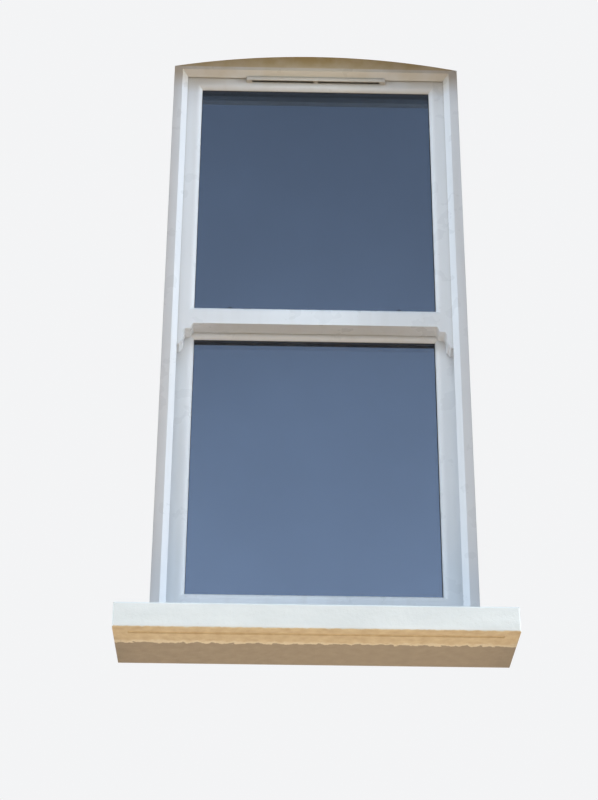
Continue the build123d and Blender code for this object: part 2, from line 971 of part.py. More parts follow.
upper_pivot = upper_bottom + pivot_height
lower_pivot = lower_bottom + pivot_height
shoe_top = shoe_height - shoe_below_pivot
upper_tube = upper_pivot + shoe_top + shoe_tube_gap
lower_tube = lower_pivot + shoe_top + travel + shoe_tube_gap

for sash, slot_centre, pivot_level, tube_level in (
    ("upper", upper_slot, upper_pivot, upper_tube),
    ("lower", lower_slot, lower_pivot, lower_tube),
):
    save(both_sides(balance_tube(slot_centre, tube_level)), f"{sash}_balance_tubes")
    save(both_sides(balance_hanger(slot_centre, tube_level)), f"{sash}_balance_hangers")
    save(both_sides(twisted_rod(slot_centre, pivot_level + shoe_top)), f"{sash}_balance_rods")
    save(both_sides(balance_shoe(slot_centre, pivot_level)), f"{sash}_balance_shoes")
    save(both_sides(pivot_bar(slot_centre, pivot_level)), f"{sash}_pivot_bars")

# Rubber-faced stops that end the travel of each sash in its own track
upper_stop = upper_bottom - horn_drop - travel - seat_gap - stop_length
lower_stop = lower_top + travel + seat_gap
with BuildPart() as travel_stops:
    for face, level in (
        (upper_face + sash_thickness / 3, upper_stop),
        (lower_face + stop_setback, lower_stop),
    ):
        add(
            both_sides(
                box_between(
                    (track_face - stop_width, face, level),
                    (track_face, face + stop_depth, level + stop_length),
                )
            )
        )
    chamfer(
        travel_stops.edges().filter_by(Axis.Z).filter_by_position(
            Axis.X, -track_face + stop_width - overshoot, track_face - stop_width + overshoot
        ),
        stop_corner,
    )
save(travel_stops.part, "travel_stops")

# Brush pile in the covering legs of the frame
pile_height = pile_gap - pile_clearance
with BuildPart() as frame_pile:
    add(
        both_sides(
            box_between(
                (leg_edge + pile_inset, leg_depth, lower_bottom),
                (leg_edge + pile_inset + pile_width, leg_depth + pile_height, head_leg_level),
            )
        )
    )
    add(
        box_between(
            (-leg_edge, leg_depth, head_leg_level + pile_inset),
            (leg_edge, leg_depth + pile_height, head_leg_level + pile_inset + pile_width),
        )
    )
save(frame_pile.part, "frame_brush_pile")

# Brush pile on the upper meeting rail, closing the gap between the sashes
meeting_pile = box_between(
    (-leg_edge, inner_face, upper_bottom + meeting_pile_rise),
    (leg_edge, inner_face + sash_gap - pile_clearance, upper_bottom + meeting_pile_rise + pile_width),
)
save(meeting_pile, "meeting_brush_pile")

# Cam fasteners: base and turret on the lower meeting rail
cam_axis = lower_face + cam_axis_setback
turret_level = lower_top + cam_level - slide_clearance
with BuildPart() as cam_base:
    with BuildSketch(Plane.XY.offset(lower_top)):
        with Locations((cam_offset, cam_axis)):
            plate = Rectangle(catch_base_length, catch_base_width)
        chamfer(plate.vertices(), catch_base_corner)
    extrude(amount=catch_base_thickness)
    with BuildSketch(Plane.XY.offset(lower_top)):
        with Locations((cam_offset, cam_axis)):
            Circle(turret_diameter / 2)
    extrude(amount=turret_level - lower_top)
    with Locations((cam_offset, cam_axis, turret_level)):
        Hole(spindle_diameter / 2 + pivot_clearance, depth=turret_level - lower_top - spindle_end_gap / 2)
save(both_sides(cam_base.part), "cam_bases")

# Cam levers: a hooked plate on a spindle, with a rising thumb lever. The
# hook's ring is centred on the spindle and is drawn turned clear of the keeper
hook_inner = cam_reach - cam_hook_width


def ring_sector(inner, outer, start, sweep):
    """A piece of a flat ring about the origin."""
    points = [
        (radius * cos(radians(angle)), radius * sin(radians(angle)))
        for radius, angle in (
            (inner, start),
            (inner, start + sweep),
            (outer, start + sweep),
            (outer, start),
        )
    ]
    middle = radians(start + sweep / 2)
    with BuildSketch() as sector:
        with BuildLine():
            ThreePointArc(points[0], (inner * cos(middle), inner * sin(middle)), points[1])
            Line(points[1], points[2])
            ThreePointArc(points[2], (outer * cos(middle), outer * sin(middle)), points[3])
            Line(points[3], points[0])
        make_face()
    return sector.sketch


cam_plane = Plane((cam_offset, cam_axis, lower_top + cam_level))
with BuildPart() as cam_right:
    with BuildSketch(cam_plane):
        Circle(turret_diameter / 2)
        add(ring_sector(hook_inner, cam_reach, hook_start, hook_sweep))
        add(ring_sector(turret_diameter / 4, cam_reach, hook_start + hook_sweep, hook_arm))
    extrude(amount=cam_thickness)
    with BuildSketch(cam_plane):
        Circle(spindle_diameter / 2)
    extrude(amount=-cam_level + spindle_end_gap)
    with BuildSketch(Plane.XZ.offset(-cam_axis - handle_thickness / 2)):
        base_level = lower_top + cam_level + cam_thickness
        tip_level = lower_top + cam_handle_height - handle_tip_radius
        foot_back = (cam_offset - handle_root, base_level)
        foot_front = (cam_offset + handle_root, base_level)
        tip_back = (cam_offset - handle_lean, tip_level)
        tip_front = (cam_offset - handle_lean + handle_tip_width, tip_level + handle_tip_radius / 2)
        with BuildLine():
            Line(foot_front, foot_back)
            RadiusArc(foot_back, tip_back, -handle_back_radius)
            RadiusArc(tip_back, tip_front, handle_tip_radius)
            RadiusArc(tip_front, foot_front, handle_front_radius)
        make_face()
    extrude(amount=handle_thickness)
save(cam_right.part, "cam_lever_right")

with BuildPart() as cam_left:
    mirror(cam_right.part, about=Plane.YZ)
save(cam_left.part, "cam_lever_left")

# Keepers on the upper meeting rail: a ledge over the glazing bead, a leg down
# the room-side face for the screws, and the lip that the hook passes behind
keeper_level = upper_bottom + meeting_rail_width
lip_face = cam_axis - hook_inner + keeper_lip
with BuildPart() as keeper:
    with BuildSketch(Plane.YZ.offset(cam_offset - keeper_length / 2)):
        Polygon(
            (inner_face - inner_bead_depth, keeper_level),
            (inner_face, keeper_level),
            (inner_face, keeper_level - keeper_leg),
            (inner_face + keeper_plate, keeper_level - keeper_leg),
            (inner_face + keeper_plate, keeper_level + keeper_plate),
            (lip_face + keeper_lip, keeper_level + keeper_plate),
            (lip_face + keeper_lip, lower_top + cam_level + cam_thickness),
            (lip_face, lower_top + cam_level + cam_thickness),
            (lip_face, keeper_level + keeper_plate),
            (inner_face - inner_bead_depth, keeper_level + keeper_plate),
            align=None,
        )
    extrude(amount=keeper_length)
save(both_sides(keeper.part), "cam_keepers")

# Tilt latches: a channel housing on the lower sash's top edge and a sprung
# bolt in it that runs out into the jamb's slot, moved by a thumb button
latch_end = half_sash - latch_end_gap
bolt_width = latch_width - 2 * latch_wall - 2 * bolt_clearance
bolt_height = latch_height - latch_wall - 2 * bolt_clearance
button_middle = latch_end - latch_length / 2
with BuildPart() as latch_housing:
    add(
        box_between(
            (latch_end - latch_length, lower_slot - latch_width / 2, lower_top),
            (latch_end, lower_slot + latch_width / 2, lower_top + latch_height),
        )
    )
    chamfer(latch_housing.edges().filter_by(Axis.X).group_by(Axis.Z)[-1], latch_edge)
    add(
        box_between(
            (
                latch_end - latch_length + 2 * latch_wall,
                lower_slot - latch_width / 2 + latch_wall,
                lower_top - overshoot,
            ),
            (
                latch_end + overshoot,
                lower_slot + latch_width / 2 - latch_wall,
                lower_top + latch_height - latch_wall,
            ),
        ),
        mode=Mode.SUBTRACT,
    )
    with BuildSketch(Plane.XY.offset(lower_top)):
        with Locations((button_middle, lower_slot)):
            Rectangle(
                button_length + bolt_throw + 4 * button_slot_gap,
                button_neck_width + 2 * button_slot_gap,
            )
    extrude(amount=latch_height + overshoot, mode=Mode.SUBTRACT)
save(both_sides(latch_housing.part), "tilt_latch_housings")

with BuildPart() as latch_bolt:
    add(
        box_between(
            (
                latch_end - latch_length + 2 * latch_wall + bolt_throw,
                lower_slot - bolt_width / 2,
                lower_top + bolt_clearance,
            ),
            (latch_end, lower_slot + bolt_width / 2, lower_top + bolt_clearance + bolt_height),
        )
    )
    chamfer(latch_bolt.faces().sort_by(Axis.X)[-1].edges().filter_by(Axis.Z), bolt_nose)
    button_at = (button_middle - bolt_throw / 2, lower_slot)
    with BuildSketch(Plane.XY.offset(lower_top + bolt_clearance + bolt_height)):
        with Locations(button_at):
            Rectangle(button_length, button_neck_width)
    extrude(amount=latch_height - bolt_height)
    with BuildSketch(Plane.XY.offset(lower_top + latch_height + bolt_clearance)):
        with Locations(button_at):
            button = Rectangle(button_length + 2 * button_rim, button_width)
        chamfer(button.vertices(), button_corner)
    extrude(amount=button_height, taper=button_taper)
save(latch_bolt.part, "tilt_latch_right")

with BuildPart() as latch_left:
    mirror(latch_bolt.part, about=Plane.YZ)
save(latch_left.part, "tilt_latch_left")

# Sash lifts: two finger hooks on the room side of the bottom rail
lift_level = lower_pivot - lift_below_pivot
lift_face = lower_face + sash_thickness


def half_round(start, end, level, way):
    """Half a circle between two depths at one level, rising (1) or dipping (-1)."""
    top = level + way * abs(end - start) / 2
    return ThreePointArc((start, level), ((start + end) / 2, top), (end, level))


with BuildPart() as lift:
    with BuildSketch(Plane.YZ.offset(lift_offset - lift_width / 2)):
        with BuildLine():
            back = lift_face + lift_thickness
            tip = lift_face + lift_projection
            cup = lift_level + lift_projection / 2
            rim = lift_level + lift_height - lift_rim_drop
            Polyline(
                (lift_face, cup),
                (lift_face, lift_level + lift_height),
                (back, lift_level + lift_height),
                (back, cup),
            )
            half_round(back, tip - lift_thickness, cup, -1)
            Line((tip - lift_thickness, cup), (tip - lift_thickness, rim))
            half_round(tip - lift_thickness, tip, rim, 1)
            Line((tip, rim), (tip, cup))
            half_round(tip, lift_face, cup, -1)
        make_face()
    extrude(amount=lift_width)
save(both_sides(lift.part), "sash_lifts")
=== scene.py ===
"""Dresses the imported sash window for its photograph: materials, screw heads, light and camera.

Metres, in the part's own frame: X to the right as seen from the street, Y into the
room, Z up from the underside of the stone sill.
"""

import json
from math import asin, cos, pi, radians, sin

import bmesh
import bpy
from mathutils import Matrix, Vector


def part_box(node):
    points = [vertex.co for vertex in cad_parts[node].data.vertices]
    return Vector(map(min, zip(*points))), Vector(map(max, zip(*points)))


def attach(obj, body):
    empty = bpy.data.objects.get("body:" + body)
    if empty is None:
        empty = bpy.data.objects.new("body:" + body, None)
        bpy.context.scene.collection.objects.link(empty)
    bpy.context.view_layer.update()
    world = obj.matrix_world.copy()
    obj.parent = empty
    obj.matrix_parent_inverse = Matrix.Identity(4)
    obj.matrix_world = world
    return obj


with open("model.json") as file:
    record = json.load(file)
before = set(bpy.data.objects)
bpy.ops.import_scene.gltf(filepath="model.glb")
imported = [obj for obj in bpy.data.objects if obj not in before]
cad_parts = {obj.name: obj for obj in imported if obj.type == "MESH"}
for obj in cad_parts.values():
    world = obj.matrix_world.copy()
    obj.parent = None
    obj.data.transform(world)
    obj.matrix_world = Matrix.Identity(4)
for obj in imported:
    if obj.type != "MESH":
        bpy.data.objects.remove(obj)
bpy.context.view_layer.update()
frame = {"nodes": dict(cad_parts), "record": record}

# The photographer stood on the pavement and looked up
CAMERA_AT = Vector((-0.1079, -3.8813, -1.4985))
CAMERA_PITCH = radians(28.827)
CAMERA_YAW = radians(1.0225)
CAMERA_ROLL = radians(0.3746)
FOCAL_PIXELS = 1876.89
PHOTO_LONG_SIDE = 800
SENSOR = 36.0
EYE_HEIGHT = 1.6

# The stone sill's underside is coloured tan, a painted warm shade, behind its painted front and up
# into its groove
SILL_LOW, SILL_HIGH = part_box("stone_sill")
TAN_BEHIND = SILL_LOW.y + 0.005
TAN_UNDER = 0.00175
GROOVE_TOP = 0.011

# The mortar bed begins this far back, with a lip of pale paint in front of it, coloured warm as
# painted shade
BEDDED_FROM = -0.062
LIP_FROM = BEDDED_FROM - 0.010

# The brick opening that the window was taken out of, and the wall round it
OPENING_GAP = 0.002
OPENING_HALF_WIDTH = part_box("jamb_right")[1].x + OPENING_GAP
OPENING_FOOT = SILL_HIGH.z + OPENING_GAP
OPENING_SPRING, OPENING_CROWN = (corner.z + OPENING_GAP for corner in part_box("arch_board"))
ARCH_STEPS = 12
WALL_FACE = -0.105
WALL_REACH = 2.4
WALL_FOOT = -0.6

# The plastic is yellowed between these heights, under the arch: partly stains, partly painted
# shade of the arch
ARCH_SHADE_FROM = 1.558
ARCH_SHADE_TO = 1.612

# It stays white indoors, from between these depths on
INDOORS_FROM = 0.035
INDOORS_TO = 0.060

# It is browned between these distances from the middle, a painted shade under the vent's canopy
VENT_SHADE_FROM = 0.13
VENT_SHADE_TO = 0.21

# Colours of the plastic and the board
WHITE = (0.73, 0.77, 0.82)
WHITE_SHADE = (0.70, 0.74, 0.79)
VENT_WHITE = (0.64, 0.65, 0.66)
VENT_SHADE = (0.59, 0.60, 0.61)
DUST = (0.44, 0.42, 0.38)
# Yellowed: partly stains, partly painted shade of the arch
YELLOWED_AND_SHADED = (0.49, 0.42, 0.30)
# The board's front colours are painted shade of the arch, partly yellowing; its back is its own
# colour
BOARD_SHADED_LOW = (0.52, 0.45, 0.33)
BOARD_SHADED_HIGH = (0.43, 0.335, 0.19)
BOARD_STAIN = (0.36, 0.25, 0.08)
BOARD_BACK = (0.72, 0.71, 0.66)
BOARD_BACK_SHADE = (0.66, 0.64, 0.58)

# Colours of the stone and the wall
PAINT = (0.72, 0.76, 0.77)
PAINT_SHADE = (0.66, 0.70, 0.71)
PAINT_CHIP = (0.45, 0.42, 0.36)
# The lip and the tans are painted warm shade on the sill's underside
SHADED_PAINT_LIP = (0.76, 0.71, 0.61)
SHADED_TAN_DARK = (0.57, 0.47, 0.33)
SHADED_TAN_LIGHT = (0.70, 0.62, 0.47)
MORTAR_DARK = (0.30, 0.26, 0.21)
MORTAR_LIGHT = (0.42, 0.37, 0.31)
BRICK = (0.24, 0.15, 0.10)

# Colours of the glass and the fittings
GLASS = (0.41, 0.48, 0.59)
POWDER_COAT = (0.82, 0.83, 0.84)
POWDER_COAT_SHADE = (0.76, 0.77, 0.79)
ZINC = (0.56, 0.57, 0.58)
ZINC_DULL = (0.42, 0.43, 0.45)
ANODISED = (0.20, 0.20, 0.21)
ANODISED_DARK = (0.14, 0.14, 0.15)
NYLON = (0.74, 0.73, 0.69)
NYLON_SHADE = (0.66, 0.65, 0.61)
BLACK_RUBBER = (0.012, 0.012, 0.013)
BLACK_BLOOM = (0.05, 0.05, 0.048)
GREY_RUBBER = (0.52, 0.52, 0.50)
GREY_BLOOM = (0.62, 0.62, 0.60)
PILE_DARK = (0.30, 0.30, 0.30)
PILE_LIGHT = (0.58, 0.58, 0.57)

# Backdrop and floor; the floor throws warm light up, but is seen paler
SKY_LIGHT = 0.56
SKY_COLOR = (0.70, 0.85, 1.0)
BACKDROP = (0.90, 0.905, 0.915)
MIRRORED = (0.78, 0.88, 1.0)
FLOOR_COLOR = (0.44, 0.415, 0.39)
FLOOR_BOUNCE = (0.80, 0.58, 0.36)
FLOOR_GLOW = 0.92
FLOOR_SIZE = 40.0

# What glass mirrors and shows behind it fades from low in the sky to high in it
MIRRORED_FADE = (1.0, 0.45)
BEHIND_FADE = (1.0, 0.16)
FADE_FROM = sin(radians(20))
FADE_TO = sin(radians(40))

# Each lamp's name, place, size, watts and colour; all of them face the window's middle
WINDOW_MIDDLE = Vector((0.0, 0.05, 0.85))
LAMPS = (
    ("high_front", (-1.2, -5.0, 5.0), 3.5, 130, (0.82, 0.91, 1.0)),
    ("left_side", (-4.2, -1.3, 1.4), 2.0, 125, (0.84, 0.92, 1.0)),
    ("right_side", (4.2, -1.3, 1.4), 2.0, 220, (0.90, 0.95, 1.0)),
    ("room_side", (1.5, 5.0, 3.0), 3.5, 150, (1.0, 0.98, 0.95)),
    ("low_warm", (0.0, -1.8, -2.6), 2.0, 34, (1.0, 0.70, 0.42)),
)

# Screw heads: the dome's rings as reach and rise, and the crossed recess
SCREW_RADIUS = 0.003
SCREW_STEPS = 20
DOME_RISE = 0.30 * SCREW_RADIUS
DOME_RINGS = (
    (SCREW_RADIUS, 0.0),
    (0.96 * SCREW_RADIUS, 0.6 * DOME_RISE),
    (0.80 * SCREW_RADIUS, DOME_RISE),
)
RECESS_ARM = 0.62 * SCREW_RADIUS
RECESS_HALF_WIDTH = 0.16 * SCREW_RADIUS
RECESS_FLOOR = 0.05 * SCREW_RADIUS

# The fittings that are screwed on, and their two screws each
CAM_BASE_LENGTH = 0.056
CAM_BASE_THICKNESS = 0.0025
CAM_SCREWS_APART = 0.040
KEEPER_LENGTH = 0.020
KEEPER_SCREWS_APART = 0.010
KEEPER_SCREW_RISE = 0.0078
LIFT_WIDTH = 0.044
LIFT_THICKNESS = 0.003
LIFT_SCREWS_APART = 0.028
LIFT_SCREW_DROP = 0.0045

# A colour mix node's sockets, which share their names with others
MIX_FACTOR, MIX_FIRST, MIX_SECOND = 0, 6, 7
MIX_RESULT = 2


class Nodes:
    """A node tree under construction."""

    def __init__(self, tree):
        self.tree = tree

    def feed(self, socket, value):
        """Link a socket to another one, or set it to a constant."""
        if isinstance(value, bpy.types.NodeSocket):
            self.tree.links.new(value, socket)
        else:
            socket.default_value = value

    def node(self, kind, inputs=None):
        """A new node; inputs says what goes into its sockets, by name or number."""
        made = self.tree.nodes.new(kind)
        for socket, value in (inputs or {}).items():
            self.feed(made.inputs[socket], value)
        return made

    def spread(self, value, low, high, out_low, out_high):
        """A node that spreads a value from one range onto another, held at its ends."""
        ends = {"From Min": low, "From Max": high, "To Min": out_low, "To Max": out_high}
        return self.node("ShaderNodeMapRange", {"Value": value, **ends})


class Look(Nodes):
    """A node material under construction."""

    def __init__(self, name, **constants):
        self.material = bpy.data.materials.new(name)
        self.material.use_nodes = True
        super().__init__(self.material.node_tree)
        self.shader = self.tree.nodes["Principled BSDF"]
        self.place = self.node("ShaderNodeTexCoord").outputs["Object"]
        for socket, value in constants.items():
            self.set(socket, value)

    def set(self, socket, value):
        """Link one of the main shader's sockets, or set it to a constant."""
        self.feed(self.shader.inputs[socket], value)

    def noise(self, scale, detail=3.0, along=(1, 1, 1)):
        """Soft cloudy noise from 0 to 1, which may be stretched along an axis."""
        place = self.node("ShaderNodeMapping", {"Vector": self.place, "Scale": along}).outputs[0]
        cloud = {"Vector": place, "Scale": scale, "Detail": detail}
        return self.node("ShaderNodeTexNoise", cloud).outputs[0]

    def between(self, value, low, high, out_low=0.0, out_high=1.0):
        """A value spread from one range onto another, held at its ends."""
        return self.spread(value, low, high, out_low, out_high).outputs[0]

    def above(self, value, level, blur):
        """0 below a level and 1 above it, blurred this far to either side."""
        return self.between(value, level - blur, level + blur)

    def below(self, value, level, blur):
        """1 below a level and 0 above it, blurred this far to either side."""
        return self.between(value, level - blur, level + blur, 1.0, 0.0)

    def math(self, operation, a, b):
        """One sum on two values."""
        made = self.node("ShaderNodeMath", {0: a, 1: b})
        made.operation = operation
        return made.outputs[0]

    def mix(self, factor, first, second):
        """A blend of two colours."""
        made = self.node("ShaderNodeMix")
        made.data_type = "RGBA"
        self.feed(made.inputs[MIX_FACTOR], factor)
        for socket, color in ((MIX_FIRST, first), (MIX_SECOND, second)):
            self.feed(made.inputs[socket], (*color, 1) if isinstance(color, tuple) else color)
        return made.outputs[MIX_RESULT]

    def along(self, axis):
        """The place on one axis, in metres."""
        return self.node("ShaderNodeSeparateXYZ", {"Vector": self.place}).outputs[axis]

    def across(self):
        """The distance from the window's middle plane."""
        return self.math("ABSOLUTE", self.along("X"), 0.0)

    def depth(self):
        """The depth behind the frame's outer face."""
        return self.along("Y")

    def height(self):
        """The height above the sill's underside."""
        return self.along("Z")

    def crevices(self, reach):
        """1 in corners and joints, 0 on open faces."""
        made = self.node("ShaderNodeAmbientOcclusion", {"Distance": reach})
        made.samples = 4
        return self.between(made.outputs["AO"], 0.35, 0.85, 1.0, 0.0)

    def bump(self, height, depth):
        """Relief on the surface, this deep in metres."""
        relief = {"Height": height, "Distance": depth, "Strength": 1.0}
        self.set("Normal", self.node("ShaderNodeBump", relief).outputs[0])


def shaded(color, share):
    """The same colour, darker."""
    return tuple(share * channel for channel in color)


def weathered_plastic(name, color, shade, roughness):
    """White window plastic: faintly mottled, dusty in its joints with painted shade in its
    corners, yellowed up by the head with painted shade of the arch and the vent's canopy.
    """
    look = Look(name)
    mottled = look.mix(look.between(look.noise(4.0, 1.0), 0.2, 0.8), color, shade)
    streaks = look.between(look.noise(40.0, 1.0, (1, 1, 0.05)), 0.5, 0.9, 0.0, 0.2)
    dusty = look.mix(streaks, mottled, DUST)

    # Up by the head: stained patches and painted shade of the arch, with painted shade under the
    # vent's canopy
    patches = look.between(look.noise(11.0, 3.0), 0.3, 0.7, 0.45, 0.8)
    high = look.between(look.height(), ARCH_SHADE_FROM, ARCH_SHADE_TO)
    outside = look.between(look.depth(), INDOORS_FROM, INDOORS_TO, 1.0, 0.1)
    under_arch = look.math("MULTIPLY", high, outside)
    vent_shade = look.between(look.across(), VENT_SHADE_FROM, VENT_SHADE_TO, 0.75, 0.0)
    aged_and_shaded = look.math("MULTIPLY", look.math("MAXIMUM", patches, vent_shade), under_arch)
    yellowed_and_shaded = look.mix(aged_and_shaded, dusty, YELLOWED_AND_SHADED)

    # Corners, joints and recesses darken towards dust by how enclosed they are: partly dust,
    # partly painted shade
    joints_dust_and_shade = look.math("MULTIPLY", look.crevices(0.006), 0.55)
    look.set("Base Color", look.mix(joints_dust_and_shade, yellowed_and_shaded, DUST))
    rubbed = look.between(look.noise(18.0), 0.3, 0.7, roughness - 0.05, roughness + 0.07)
    look.set("Roughness", rubbed)
    look.bump(look.noise(140.0, 2.0), 0.00004)
    return look.material


def infill_board():
    """The arched board: its front yellowed and darkened as painted shade of the arch, more towards
    its top, and stained along its top; clean behind.
    """
    look = Look("infill_board", Roughness=0.5)
    climb = look.between(look.height(), ARCH_SHADE_TO, OPENING_CROWN)
    blotches = look.between(look.noise(22.0, 5.0), 0.40, 0.64)
    # The front's tan, darker towards the crown, is painted shade of the arch, partly yellowing
    aged_and_shaded = look.mix(climb, BOARD_SHADED_LOW, BOARD_SHADED_HIGH)
    stain = look.math("MULTIPLY", look.math("MULTIPLY", climb, blotches), 0.85)
    front = look.mix(stain, aged_and_shaded, BOARD_STAIN)
    back = look.mix(blotches, BOARD_BACK, BOARD_BACK_SHADE)
    behind = look.above(look.depth(), 0.0035, 0.0015)
    look.set("Base Color", look.mix(behind, front, back))
    look.bump(look.noise(160.0, 4.0), 0.0002)
    return look.material


def painted_stone():
    """Thick white paint over stone; beneath, coloured warm tan as painted shade, and bedded in
    mortar.
    """
    look = Look("painted_stone", Roughness=0.62)
    wander = look.noise(60.0, 5.0)

    brushed = look.between(look.noise(26.0, 5.0, (0.25, 1, 1)), 0.35, 0.65)
    specks = look.between(look.noise(240.0, 2.0), 0.70, 0.76)
    paint = look.mix(brushed, PAINT, PAINT_SHADE)
    chipped = look.mix(look.math("MULTIPLY", specks, 0.5), paint, PAINT_CHIP)

    # Where the painted shade shows as tan: ragged along the bottom edge, and all over the groove
    ragged = look.math("ADD", look.height(), look.between(wander, 0.2, 0.8, -0.002, 0.002))
    lowest = look.below(ragged, TAN_UNDER, 0.00075)
    behind_front = look.above(look.depth(), TAN_BEHIND, 0.001)
    in_groove = look.below(look.height(), GROOVE_TOP, 0.001)
    shaded_underside = look.math("MAXIMUM", lowest, look.math("MULTIPLY", behind_front, in_groove))

    back = look.math("ADD", look.depth(), look.between(wander, 0.2, 0.8, -0.012, 0.012))
    shaded_tan = look.mix(look.between(look.noise(45.0, 5.0), 0.3, 0.7), SHADED_TAN_DARK, SHADED_TAN_LIGHT)
    shaded_lipped = look.mix(look.above(back, LIP_FROM, 0.006), shaded_tan, SHADED_PAINT_LIP)
    mortar = look.mix(look.noise(38.0, 6.0), MORTAR_DARK, MORTAR_LIGHT)
    underside = look.mix(look.above(back, BEDDED_FROM, 0.001), shaded_lipped, mortar)

    look.set("Base Color", look.mix(shaded_underside, chipped, underside))
    grains = look.math("MULTIPLY", look.noise(320.0, 2.0), 0.3)
    look.bump(look.math("ADD", look.noise(70.0, 5.0), grains), 0.0011)
    return look.material


def coated_metal():
    """White powder coat with its fine orange peel."""
    look = Look("white_metal")
    look.set("Base Color", look.mix(look.noise(40.0), POWDER_COAT, POWDER_COAT_SHADE))
    look.set("Roughness", look.between(look.noise(60.0), 0.3, 0.7, 0.24, 0.36))
    look.bump(look.noise(900.0, 2.0), 0.00006)
    return look.material


def drawn_steel():
    """Zinc-plated steel with lines along its length and dull patches."""
    look = Look("balance_steel", Metallic=1.0)
    spangle = look.between(look.noise(70.0, 3.0), 0.35, 0.65)
    look.set("Base Color", look.mix(spangle, ZINC, ZINC_DULL))
    lines = look.noise(700.0, 2.0, (1, 1, 0.01))
    look.set("Roughness", look.between(lines, 0.3, 0.7, 0.26, 0.46))
    look.bump(lines, 0.00004)
    return look.material


def anodised_aluminium():
    """The spacer bar: rolled, dark anodised, slightly dull."""
    look = Look("spacer_metal", Metallic=1.0)
    rolled = look.noise(400.0, 2.0, (0.02, 1, 0.02))
    look.set("Base Color", look.mix(rolled, ANODISED, ANODISED_DARK))
    look.set("Roughness", look.between(look.noise(120.0), 0.3, 0.7, 0.34, 0.5))
    return look.material


def moulded_nylon():
    """Natural nylon: creamy, slightly cloudy."""
    look = Look("nylon", Roughness=0.42)
    look.set("Base Color", look.mix(look.noise(55.0, 4.0), NYLON, NYLON_SHADE))
    look.bump(look.noise(500.0, 2.0), 0.00005)
    return look.material


def rubber(name, color, dusted, roughness):
    """Rubber with a dusty bloom."""
    look = Look(name, Roughness=roughness)
    bloom = look.between(look.noise(80.0, 4.0), 0.4, 0.75)
    look.set("Base Color", look.mix(bloom, color, dusted))
    look.bump(look.noise(700.0, 3.0), 0.00008)
    return look.material


def brush_pile():
    """Grey woven pile: fine upright fibres."""
    look = Look("brush_pile", Roughness=0.9)
    fibres = look.noise(2500.0, 2.0, (1, 0.05, 1))
    look.set("Base Color", look.mix(fibres, PILE_DARK, PILE_LIGHT))
    look.bump(fibres, 0.0004)
    return look.material


def window_glass():
    """Float glass that darkens what is behind it, with faint clouds and waves."""
    look = Look("glass", IOR=1.52, Roughness=0.0)
    look.set("Transmission Weight", 1.0)
    look.set("Base Color", look.mix(look.noise(2.2, 3.0), GLASS, shaded(GLASS, 0.86)))
    look.bump(look.noise(2.6, 1.0), 0.0002)
    return look.material


LOOKS = {
    "white_plastic": weathered_plastic("white_plastic", WHITE, WHITE_SHADE, 0.30),
    "vent_plastic": weathered_plastic("vent_plastic", VENT_WHITE, VENT_SHADE, 0.38),
    "infill_board": infill_board(),
    "painted_stone": painted_stone(),
    "white_metal": coated_metal(),
    "balance_steel": drawn_steel(),
    "spacer_metal": anodised_aluminium(),
    "nylon": moulded_nylon(),
    "glass": window_glass(),
    "gasket_rubber": rubber("gasket_rubber", BLACK_RUBBER, BLACK_BLOOM, 0.55),
    "stop_rubber": rubber("stop_rubber", GREY_RUBBER, GREY_BLOOM, 0.7),
    "brush_pile": brush_pile(),
}


def dress_nodes():
    """Give each CAD node the material that its slot names."""
    for part in frame["record"]["subparts"]:
        node = frame["nodes"][part["node"]]
        node.data.materials.clear()
        node.data.materials.append(LOOKS[part["material_slot"]])


def add_object(name, data):
    """Put a mesh, lamp or camera into the scene."""
    made = bpy.data.objects.new(name, data)
    bpy.context.scene.collection.objects.link(made)
    return made


def ring(heads, seat, outline, rise):
    """A loop of vertices along an outline, this far above the seat."""
    return [heads.verts.new(seat @ Vector((x, y, rise))) for x, y in outline]


def bridge(heads, low, high):
    """A band of faces between two loops."""
    for n in range(len(low)):
        after = (n + 1) % len(low)
        heads.faces.new((low[n], low[after], high[after], high[n]))


def edges_of(heads, loop):
    """The edges round a loop."""
    return [heads.edges.get((loop[n - 1], loop[n])) for n in range(len(loop))]


def add_screws(name, body, places, upright):
    """Domed screw heads with crossed recesses, facing up or into the room."""
    turns = [2 * pi * n / SCREW_STEPS for n in range(SCREW_STEPS)]
    cross = [
        (RECESS_ARM, RECESS_HALF_WIDTH),
        (RECESS_HALF_WIDTH, RECESS_HALF_WIDTH),
        (RECESS_HALF_WIDTH, RECESS_ARM),
    ]
    cross += [(-y, x) for x, y in cross]
    cross += [(-x, -y) for x, y in cross]
    facing = Matrix() if upright else Matrix.Rotation(radians(-90), 4, "X")

    heads = bmesh.new()
    for place in places:
        seat = Matrix.Translation(place) @ facing
        dome = []
        for reach, rise in DOME_RINGS:
            circle = [(reach * cos(turn), reach * sin(turn)) for turn in turns]
            dome.append(ring(heads, seat, circle, rise))
        for low, high in zip(dome, dome[1:]):
            bridge(heads, low, high)
        rim = ring(heads, seat, cross, DOME_RISE)
        floor = ring(heads, seat, cross, RECESS_FLOOR)
        bridge(heads, floor, rim)
        heads.faces.new(floor)
        border = edges_of(heads, dome[-1]) + edges_of(heads, rim)
        bmesh.ops.triangle_fill(heads, edges=border, use_beauty=True)
    bmesh.ops.recalc_face_normals(heads, faces=heads.faces)

    mesh = bpy.data.meshes.new(name)
    heads.to_mesh(mesh)
    heads.free()
    mesh.materials.append(LOOKS["balance_steel"])
    screws = add_object(name, mesh)
    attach(screws, body)


def both_sides(across, apart):
    """Where the screws of the left and the right fitting are across the window."""
    return [side * across + step for side in (-1, 1) for step in (-apart / 2, apart / 2)]


